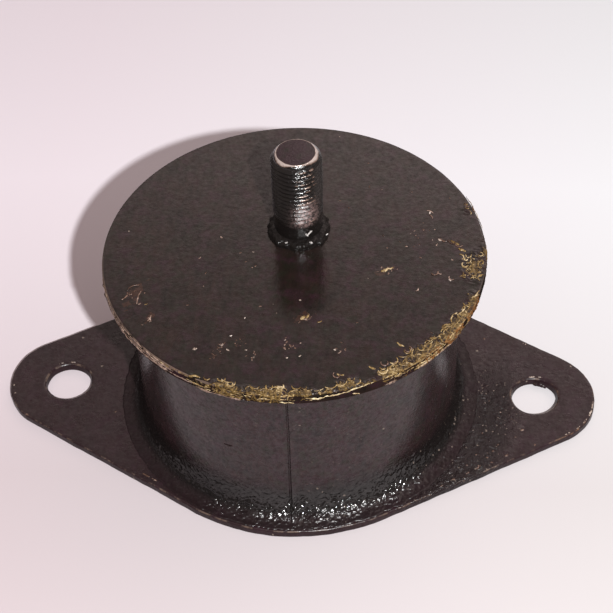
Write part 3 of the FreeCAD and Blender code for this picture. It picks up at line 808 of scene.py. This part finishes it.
def makeTopDisc(p):
    low, high = discLow.z / mm, discHigh.z / mm
    edge, radius = p["edgeRound"], p["radius"]
    lowBand, crustBand = radius - p["lowBand"], radius - p["crustBand"]
    points = divided((p["inner"], low), (lowBand, low), 2.5)
    points += divided((lowBand, low), (radius - edge, low), 0.4)[1:]
    points += quarterRound((radius - edge, low + edge), edge, -90, 0, 4)[1:]
    points += divided((radius, low + edge), (radius, high - edge), 0.25)[1:]
    points += quarterRound((radius - edge, high - edge), edge, 0, 90, 4)[1:]
    points += divided((radius - edge, high), (crustBand, high), 0.3)[1:]
    points += divided((crustBand, high), (p["inner"], high), 1.2)[1:]
    bm = spinProfile(points, p["steps"])
    rims = [[e for e in bm.edges if e.is_boundary and abs(e.verts[0].co.z - level) < 0.01 * mm]
            for level in (discLow.z, discHigh.z)]
    holes = []
    for level, rim in zip((discLow.z, discHigh.z), rims):
        ring = bmesh.ops.create_circle(bm, segments=64, radius=p["holeRadius"] * mm,
                                       matrix=Matrix.Translation((studAxis.x, studAxis.y, level)))
        hole = list({e for v in ring["verts"] for e in v.link_edges})
        bmesh.ops.triangle_fill(bm, edges=rim + hole, use_beauty=True)
        holes += hole
    bmesh.ops.bridge_loops(bm, edges=holes)
    bmesh.ops.recalc_face_normals(bm, faces=bm.faces)
    mark = bm.verts.layers.float.new("crust")
    crest = bm.verts.layers.float.new("curl")
    for vert in bm.verts:
        place = vert.co.copy()
        out = math.hypot(place.x, place.y)
        if out < (p["inner"] + 0.5) * mm or place.z < discLow.z + 0.3 * mm:
            continue
        strength = crustStrength(place)
        curl = curlHeight(place) if strength > 0 else 0.0
        vert[mark] = strength
        vert[crest] = curl
        outward = Vector((place.x, place.y, 0)) / out
        rough = curl + 0.5 * swell(place, 0.5)
        dent = 0.04 * swell(place, 3.0)
        lift = p["crustHeight"] * min(1.0, 1.6 * strength) * rough + 0.06 * strength
        rise = 1.0 if place.z > discHigh.z - 0.2 * mm else 0.35
        side = unit((out / mm - (radius - 1.2)) / 1.2)
        vert.co.z += lift * rise * mm
        vert.co += outward * side * (dent + 0.8 * lift) * mm
    return bm


addPiece("top_disc_painted", makeTopDisc(topDisc), discPaint, "top_plate", 50)


# stud: a real helix, its crests cut off by the cone at the end and fading into a plain neck
stud = dict(radius=6.35, pitch=1.27, depth=0.72, neckRadius=6.0, neckTop=5.6, fadeAbove=3.0, fadeHeight=1.6,
            clogHeight=9.0, coneHeight=1.6, endRadius=4.95, endInset=0.36, endDepth=0.05, steps=56)


def makeStud(p):
    bottom, top = studLow.z / mm, studHigh.z / mm
    bm = bmesh.new()
    root = p["radius"] - p["depth"]
    pitch = p["pitch"]
    tooth = [(root, 0.0), (root, 0.10), (p["radius"] - 0.04, 0.50), (p["radius"], 0.56),
             (p["radius"], 0.66), (p["radius"] - 0.04, 0.72), (root, 1.12), (root, 1.22)]
    start = bottom - 2 * pitch
    toothTop = tooth[-1][1]
    line = [bm.verts.new((studAxis.x + radius * mm, studAxis.y, (start + height / toothTop * pitch) * mm))
            for radius, height in tooth]
    edges = [bm.edges.new(pair) for pair in zip(line, line[1:])]
    turns = math.ceil((top - start) / pitch) + 2
    bmesh.ops.spin(bm, geom=line + edges, cent=studAxis, axis=up, dvec=(0, 0, pitch * mm / p["steps"]),
                   angle=math.tau, steps=p["steps"])
    bmesh.ops.spin(bm, geom=everything(bm), cent=studAxis, axis=up,
                   dvec=(0, 0, pitch * mm), angle=math.tau * turns, steps=turns, use_duplicate=True)
    bmesh.ops.remove_doubles(bm, verts=bm.verts, dist=0.02 * mm)
    for level, outward in ((bottom, -1), (top, 1)):
        bmesh.ops.bisect_plane(bm, geom=everything(bm), plane_co=(0, 0, level * mm),
                               plane_no=(0, 0, outward), clear_outer=True)
    # this mark holds real bare steel on the worn cone, and also painted glints on the thread crests and a
    # painted highlight round the end's corner
    bareAndGlint = bm.verts.layers.float.new("bareAndGlint")
    rubbed = bm.verts.layers.float.new("rubbed")
    for vert in bm.verts:
        away = Vector((vert.co.x - studAxis.x, vert.co.y - studAxis.y, 0))
        height = vert.co.z / mm
        above = height - bottom - p["neckTop"] - p["fadeAbove"]
        fade = unit(above / p["fadeHeight"])
        clogged = unit(1 - above / p["clogHeight"])
        radius = p["neckRadius"] + (away.length / mm - p["neckRadius"]) * fade * (1 - 0.45 * clogged)
        cone = p["endRadius"] + (top - height) * (p["radius"] - p["endRadius"]) / p["coneHeight"]
        turn = azimuth(away)
        bright = max(within(turn, -45, 30, 30), within(turn, -150, -112, 24))
        share = (cone - p["endRadius"]) / (p["radius"] - p["endRadius"])
        worn = 0.0
        if cone < radius + 0.02:    # the cone at the end is worn bare; its upper corner is painted pale all round as a painted highlight
            cornerHighlight = 0.4 if share < 0.06 else 0.0
            worn = max(0.0, 0.62 + 0.45 * bright - 1.15 * share + cornerHighlight)
        towardLamp = max(0.0, away.normalized().dot(Vector((0.42, -0.9, 0))))
        radius = min(radius, cone)
        spoilt = (0.05 + 0.16 * clogged * fade) * swell(vert.co, 0.8)
        vert.co += away.normalized() * (radius + spoilt - away.length / mm) * mm
        # thread crests on the side toward the lamp are painted pale like bare steel: painted glints
        crest = 0.0
        if radius > p["radius"] - 0.3 and fade > 0.9 and worn == 0:
            crest = (0.50 + 0.3 * swell(vert.co, 2.2)) * towardLamp ** 3
        vert[bareAndGlint] = max(worn, crest)
        vert[rubbed] = min(1.0, 2.4 * clogged) * fade * towardLamp ** 9
    for level in (bottom, top):
        loop = [e for e in bm.edges if e.is_boundary and abs(e.verts[0].co.z / mm - level) < 0.02]
        cap = bmesh.ops.contextual_create(bm, geom=loop)
        if level == top:
            bmesh.ops.inset_region(bm, faces=cap["faces"], thickness=p["endInset"] * mm,
                                   depth=-p["endDepth"] * mm)
            for face in cap["faces"]:
                for vert in face.verts:
                    vert[bareAndGlint] = 0.0
    bmesh.ops.recalc_face_normals(bm, faces=bm.faces)
    return bm


addPiece("stud_threaded", makeStud(stud), studSteel, "stud", 40)


# weld bead round the foot of the stud
weldBead = dict(outer=8.0, inner=5.7, crown=1.9, steps=200, lumps=0.45, ripples=11)


def makeWeldBead(p):
    base = discHigh.z / mm
    arc = quarterRound((0, 0), 1.0, 0, 90, 12)
    points = [(p["inner"] + (p["outer"] - p["inner"]) * x, base - 0.1 + (p["crown"] + 0.1) * y)
              for x, y in arc]
    points = [(p["outer"] - 0.4, base - 0.6)] + points + [(p["inner"] - 0.3, base + p["crown"] - 0.4)]
    bm = spinProfile(points, p["steps"], studAxis)
    for vert in bm.verts:
        away = Vector((vert.co.x - studAxis.x, vert.co.y - studAxis.y, 0))
        lump = swell(vert.co, 1.7) + 0.5 * swell(vert.co, 0.7)
        turn = math.radians(azimuth(away) * p["ripples"])
        ripple = 0.25 * math.sin(turn + 5 * noise.noise(vert.co * 200))
        share = unit(away.length / mm - p["inner"])
        vert.co += away.normalized() * p["lumps"] * (lump + ripple) * share * mm
        if vert.co.z > (base + 0.2) * mm:
            vert.co.z += p["lumps"] * 0.5 * lump * share * mm
    bmesh.ops.recalc_face_normals(bm, faces=bm.faces)
    return bm


addPiece("stud_weld_bead", makeWeldBead(weldBead), weldPaint, "stud_weld")


def onRim(angle, radius, height):
    turn = math.radians(angle)
    return Vector((radius * mm * math.cos(turn), radius * mm * math.sin(turn), discHigh.z + height * mm))


# a long sliver along the rim's side: azimuth from and to, depth below the top face at either end
def addRimLine(bm, start, end, depthStart, depthEnd, width):
    line = bmesh.new()
    count = max(4, int(abs(end - start) * 1.6))
    bmesh.ops.create_grid(line, x_segments=count, y_segments=1, size=0.5)
    for vert in line.verts:
        along = vert.co.x + 0.5
        angle = start + (end - start) * along
        wander = 0.34 * noise.noise(Vector((angle * 0.9, depthStart * 5, 1.0)))
        torn = max(0.12, 1 + 1.5 * noise.noise(Vector((angle * 1.6, depthStart, 5.0))))
        half = vert.co.y * width * (1 - abs(2 * along - 1) ** 4) * torn
        depth = depthStart + (depthEnd - depthStart) * along + wander
        proud = 0.10 * noise.noise(Vector((angle * 1.7, 2.0, depthStart)))
        vert.co = onRim(angle, 47.74 + proud, -depth - half)
    bmesh.ops.recalc_face_normals(line, faces=line.faces)
    bmesh.ops.solidify(line, geom=line.faces[:], thickness=0.1 * mm)
    bmesh.ops.recalc_face_normals(line, faces=line.faces)
    joinInto(bm, line)


rimStrands = dict(seed=11, density=0.36, overShare=0.3, patchCount=30, linesKept=0.78, sliversKept=0.9)

# golden slivers by azimuth: from, to, depth below the top face at either end and width
rimLines = [(-128, -117, 0.3, 0.3, 0.34), (-118, -86, 0.3, 0.4, 0.42), (-118, -86, 1.4, 1.6, 0.55),
            (-112, -86, 2.4, 2.5, 0.42), (-92, -74, 0.4, 0.3, 0.3), (-58, -44, 0.1, 0.2, 0.4),
            (-44, -26, 0.2, 0.1, 0.4), (-10, 8, 0.2, 0.2, 0.35), (12, 30, 0.1, 0.2, 0.2),
            (-60, -18, 0.3, 0.3, 0.45), (-58, -20, 1.3, 1.1, 0.5), (-50, -24, 2.2, 2.0, 0.4)]

# tan ones, most of them on the left of the rim
rimSlivers = [(-166, -118, 0.25, 0.3, 0.55), (-162, -116, 2.1, 1.9, 0.6), (-158, -122, 1.2, 1.1, 0.45),
              (-114, -101, 2.9, 3.0, 0.5), (-60, -30, 2.6, 2.5, 0.4)]

# pale slivers on the front of the rim, painted highlights
rimGlints = [(-82.5, -77.5, 1.7, 1.45, 0.62), (-78, -70, 1.3, 0.65, 0.34), (-71, -63, 0.7, 0.1, 0.36),
             (-90, -86.5, 2.3, 2.5, 0.34), (-42.5, -37, 1.5, 1.2, 0.5), (-103, -99, 0.9, 1.1, 0.35)]


def makeRimGlints(marks):
    bm = bmesh.new()
    for start, end, depthStart, depthEnd, width in marks:
        addRimLine(bm, start, end, depthStart, depthEnd, width)
    return bm


def addBrokenLines(bm, lines, shareKept, chance):
    for start, end, depthStart, depthEnd, width in lines:
        angle = start
        while angle < end:
            reach = chance.uniform(3.0, 9.0)
            if chance.random() < shareKept:
                share = (angle - start) / (end - start)
                depth = depthStart + (depthEnd - depthStart) * share
                addRimLine(bm, angle, min(end, angle + reach), depth, depth + chance.gauss(0, 0.2),
                           width * chance.uniform(0.6, 1.3))
            angle += reach * chance.uniform(0.75, 1.1)


def makeRimSlivers(p):
    bm = bmesh.new()
    addBrokenLines(bm, rimSlivers, p["sliversKept"], random.Random(p["seed"] + 1))
    return bm


def makeRimStrands(p):
    chance = random.Random(p["seed"])
    bm = bmesh.new()
    addBrokenLines(bm, rimLines, p["linesKept"], chance)
    for start, end, depth, side, count in crustZones:
        for i in range(int(count * p["density"])):
            angle = chance.uniform(start, end)
            if chance.random() < p["overShare"] * side:
                place = onRim(angle, 47.75 + chance.uniform(-0.05, 0.12), -chance.uniform(0.2, 2.2))
                addStrand(bm, place, chance.uniform(1.2, 3.4), chance.uniform(0.2, 0.45),
                          angle + 90 + chance.gauss(0, 9), chance.uniform(-0.8, 0.8),
                          chance.uniform(0, 0.04), 90 + chance.gauss(0, 14))
            else:
                inward = chance.uniform(0, 1) ** 1.2 * (depth + 0.2)
                place = onRim(angle, 47.35 - inward, chance.uniform(0.1, 0.3))
                addStrand(bm, place, chance.uniform(1.6, 4.2), chance.uniform(0.22, 0.46),
                          angle + 90 + chance.gauss(0, 16),
                          chance.choice((-1, 1)) * chance.uniform(0.6, 4.4),
                          chance.uniform(0, 0.03), chance.gauss(0, 12))
    for i in range(p["patchCount"]):
        place = onRim(chance.uniform(-10.5, 0.5), 47.0 - chance.uniform(0, 5.2), chance.uniform(0.05, 0.25))
        addStrand(bm, place, chance.uniform(1.2, 3.4), chance.uniform(0.18, 0.45),
                  chance.uniform(0, 180), chance.choice((-1, 1)) * chance.uniform(1.6, 4.8),
                  chance.uniform(0, 0.03), chance.gauss(0, 10))
    return bm


addPiece("rim_strands", makeRimStrands(rimStrands), flakes["goldenFlake"])
addPiece("rim_slivers", makeRimSlivers(rimStrands), flakes["tanFlake"])
addPiece("rim_glints", makeRimGlints(rimGlints), flakes["goldGlint"])


# loose chips on top of the disc: x, y, length, width, turn
discChips = dict(
    pale=[(-21.0, -34.0, 1.0, 0.8, 20), (-14.7, -32.4, 0.9, 0.5, 60), (-13.2, -34.0, 0.9, 0.4, -30),
          (-8.9, -33.8, 0.6, 0.4, 10), (0.0, -30.2, 0.5, 0.4, 40), (12.0, -32.9, 0.6, 0.4, -15),
          (2.7, -16.9, 0.5, 0.3, 0), (-10.1, -23.4, 0.5, 0.3, 70), (-12.9, -29.4, 0.6, 0.3, 20),
          (3.9, -35.2, 0.7, 0.3, 40), (36.1, 5.4, 1.3, 0.5, -25), (33.4, 15.2, 0.8, 0.3, 80),
          (0.9, -35.9, 0.5, 0.4, 10), (38.7, -8.6, 0.8, 0.4, -50)],
    tan=[(22.8, -5.8, 2.0, 0.9, 38), (24.0, -5.2, 1.6, 0.6, 10), (3.8, -22.8, 1.6, 0.9, 60),
         (4.9, -22.2, 1.5, 0.5, 75), (39.8, 4.5, 2.6, 0.7, -35), (41.6, 2.0, 2.0, 0.8, -30),
         (42.5, 18.5, 1.6, 0.9, -60), (43.5, 15.9, 1.5, 0.8, -70), (-34.4, -19.8, 0.8, 0.3, 30),
         (13.6, -40.8, 1.8, 0.5, -10), (20.9, -38.3, 1.8, 0.5, -25), (27.2, -30.7, 2.2, 0.5, -35),
         (7.9, -24.0, 1.2, 0.3, 25)],
)

# curled shavings lying on the disc: x, y, length, turn, bend
discCurls = [(23.9, -37.5, 3.6, 10, 4.2), (29.6, -32.8, 4.2, 30, 4.8), (34.7, -28.8, 3.6, 55, 4.4),
             (35.2, -7.0, 2.6, 20, 3.4), (35.9, -6.4, 1.6, -50, 2.0), (38.7, -8.4, 2.2, -40, 3.0),
             (33.6, 15.8, 2.0, 150, 1.6), (33.9, 14.0, 1.8, 120, 1.4), (37.0, 5.0, 2.8, -20, 2.2),
             (38.6, 4.6, 2.2, -50, 1.6), (40.4, 3.4, 3.0, -30, 2.4), (12.6, -41.6, 3.4, -15, 4.2),
             (-38.6, -13.8, 3.4, 35, -1.4), (-36.7, -17.6, 4.6, 84, -0.5), (-39.6, -17.4, 3.0, 60, 0.6),
             (-32.9, -24.4, 2.4, 70, 0.5), (42.4, 18.2, 2.8, -60, 3.2), (31.0, -12.4, 1.4, 60, 2.0),
             (26.3, -36.2, 2.6, 30, -3.4), (44.2, 17.0, 2.4, -75, 1.4)]

# scattered crumbs: middle, spread, number
discCrumbs = [(-15.0, -34.0, 2.6, 12), (-16.4, -36.2, 1.4, 5), (-7.5, -35.0, 1.6, 6), (1.4, -32.2, 2.2, 12),
              (-10.6, -31.6, 2.4, 8), (13.2, -33.0, 1.4, 7), (4.4, -22.6, 1.8, 10), (-38.0, -16.6, 2.4, 8),
              (-33.4, -24.6, 2.0, 6), (23.2, -6.0, 2.0, 8), (34.0, 8.0, 4.2, 9), (34.4, -28.0, 2.4, 5),
              (30.0, 1.0, 9.0, 8), (-10.0, -10.0, 24.0, 14), (10.0, 20.0, 22.0, 8)]


def makeChips(marks):
    bm = bmesh.new()
    for x, y, length, width, turn in marks:
        place = Vector((x * mm, y * mm, discHigh.z + 0.06 * mm))
        addStrand(bm, place, length, width, turn, 0.6 + 1.2 * noise.noise(place * 400), 0.02, 5, 0.08)
    return bm


def makeShavings(curls, crumbs):
    chance = random.Random(5)
    bm = bmesh.new()
    for x, y, length, turn, bend in curls:
        place = Vector((x * mm, y * mm, discHigh.z + 0.12 * mm))
        addStrand(bm, place, length, 0.34, turn, bend, 0.01, 4)
    for x, y, spread, count in crumbs:
        for i in range(count):
            place = Vector((x + chance.gauss(0, spread / 2), y + chance.gauss(0, spread / 2), 0)) * mm
            place.z = discHigh.z + 0.05 * mm
            addStrand(bm, place, chance.uniform(0.25, 0.9), chance.uniform(0.15, 0.4),
                      chance.uniform(0, 180), chance.uniform(-2, 2), 0.02, chance.gauss(0, 12), 0.07)
    return bm


# a cut in the rubber's side and flash torn off under the disc, then a spur on the disc's rim,
# by the measures of the plate's burrs
rubberFlash = [(-14.4, -39.1, 24.4, 2.2, 0.4, -20, 0.5, 78), (-13.2, -44.0, 48.4, 4.6, 1.2, -17, 0.5, 82),
               (-9.0, -45.4, 48.8, 3.0, 0.7, -11, -0.4, 76), (-32.6, -28.4, 47.4, 2.6, 1.4, -49, 0.4, 74)]
rimBurrs = [(-44.9, -16.7, 53.1, 1.8, 0.6, -70, 0.5, 40), (-45.9, -13.6, 53.2, 1.2, 0.4, -73, 0.3, 60)]

# pale marks on the bead and the neck, painted highlights, by the same measures
beadGlints = [(4.0, 2.6, 57.6, 2.0, 0.5, 62, 0.5, 30), (3.0, 2.2, 57.2, 1.4, 0.5, -50, 0.4, 40),
              (-1.9, 1.2, 55.2, 0.7, 0.4, 10, 0.3, 30), (4.2, 1.5, 55.2, 0.8, 0.5, -20, 0.3, 30),
              (8.0, 5.0, 54.8, 0.8, 0.3, 55, 0.3, 30)]


def makeBurrs(marks):
    bm = bmesh.new()
    for x, y, z, length, width, turn, bend, tilt in marks:
        addStrand(bm, Vector((x, y, z)) * mm, length, width, turn, bend, 0.0, tilt, 0.16)
    return bm


addPiece("plate_burrs", makeBurrs(plateBurrs), platePaint)
addPiece("rubber_flash", makeBurrs(rubberFlash), rubber)
addPiece("rim_burrs", makeBurrs(rimBurrs), discPaint)
addPiece("bead_glints", makeBurrs(beadGlints), flakes["beadGlintPale"])
addPiece("plate_chips", makePlateMarks(plateChips, plateHigh.z + 0.03 * mm), flakes["dullFlake"])
addPiece("plate_glints", makePlateMarks(plateGlints, plateHigh.z), flakes["paleFleckAndGlint"])
addPiece("disc_chips_pale", makeChips(discChips["pale"]), flakes["paleFleckAndGlint"])
addPiece("disc_chips_tan", makeChips(discChips["tan"]), flakes["goldenFlake"])
addPiece("disc_shavings", makeShavings(discCurls, discCrumbs), flakes["dullFlake"])


# floor, lamp, room and camera
floorLook = dict(size=3.0, rough=0.9, gloss=0.2, near=(0.62, 0.605, 0.61, 1), far=(0.82, 0.85, 0.88, 1),
                 left=(0.99, 0.885, 0.92, 1), farFade=(-0.03, 0.085), leftFade=(0.10, -0.08))


def makeFloor(p):
    material, tree, shader, place = newMaterial("paleFloor")
    shader.inputs["Roughness"].default_value = p["rough"]
    shader.inputs["Specular IOR Level"].default_value = p["gloss"]
    split = axes(tree, place)
    cloud = speckle(tree, place, 6.0, 2.0)
    back = timesPlus(tree, cloud, 0.12, ramp(tree, split["Y"], *p["farFade"], -0.06, 0.94))
    colour = blend(tree, back, p["near"], p["far"])
    tint = blend(tree, ramp(tree, split["X"], *p["leftFade"]), (1, 1, 1, 1), p["left"])
    tinted = put(tree, "Mix", {0: 1.0, 6: colour, 7: tint}, data_type="RGBA", blend_type="MULTIPLY")
    tree.links.new(tinted.outputs[2], shader.inputs["Base Color"])
    bm = bmesh.new()
    bmesh.ops.create_grid(bm, x_segments=2, y_segments=2, size=p["size"])
    floor = show(bpy.data.objects.new("floor", toMesh("floor", bm, material)))


keyLamp = dict(place=(0.188, -0.569, 0.580), size=0.022, power=9.0)


def makeKeyLamp(p):
    lamp = bpy.data.lights.new("key", "AREA")
    lamp.shape = "DISK"
    lamp.size = p["size"]
    lamp.energy = p["power"]
    key = show(bpy.data.objects.new("key", lamp))
    key.location = p["place"]
    key.rotation_euler = Vector(p["place"]).to_track_quat("Z", "Y").to_euler()


# strengths of the room's light, and the directions between which each part of it rises or fades
room = dict(tint=(1.0, 0.82, 0.78, 1), backLow=0.24, band=1.55, backHigh=0.44, bandRise=(0.40, 0.58),
            bandFall=(0.645, 0.72), sideFade=(-0.24, 0.16), sides=(0.52, 1.30), frontRise=(0.3, 0.95),
            front=(0.10, 0.34), turnFade=(-0.35, 0.45))


# a pale strip stands high behind the mount, the room in front of it is dim
def makeRoom(p):
    world = bpy.data.worlds.new("softRoom")
    bpy.context.scene.world = world
    world.use_nodes = True
    tree = world.node_tree
    sky = tree.nodes["Background"]
    sky.inputs["Color"].default_value = p["tint"]
    direction = put(tree, "TexCoord").outputs["Generated"]
    split = axes(tree, direction)
    rise = split["Z"]
    rising = ramp(tree, rise, *p["bandRise"], p["backLow"], p["band"])
    falling = ramp(tree, rise, *p["bandFall"], 0.0, p["band"] - p["backHigh"])
    side = ramp(tree, split["X"], *p["sideFade"], *p["sides"])
    behind = times(tree, minus(tree, rising, falling), side)
    before = ramp(tree, rise, *p["frontRise"], *p["front"])
    turn = ramp(tree, split["Y"], *p["turnFade"])
    level = put(tree, "Mix", {0: turn, 2: before, 3: behind}).outputs[0]
    tree.links.new(level, sky.inputs["Strength"])


makeFloor(floorLook)
makeKeyLamp(keyLamp)
makeRoom(room)

view = dict(place=(0.03201, -0.31705, 0.36071), lens=104.71, pitch=0.7724, turn=0.0924, roll=-0.0374)
cameraData = bpy.data.cameras.new("camera")
cameraData.lens = view["lens"]
cameraData.sensor_width = 36
camera = show(bpy.data.objects.new("camera", cameraData))
camera.matrix_world = (Matrix.Translation(view["place"]) @ Matrix.Rotation(view["turn"], 4, "Z")
                       @ Matrix.Rotation(view["pitch"], 4, "X") @ Matrix.Rotation(view["roll"], 4, "Z"))
bpy.context.scene.camera = camera
bpy.context.scene.view_settings.view_transform = "Standard"
print("stage set")
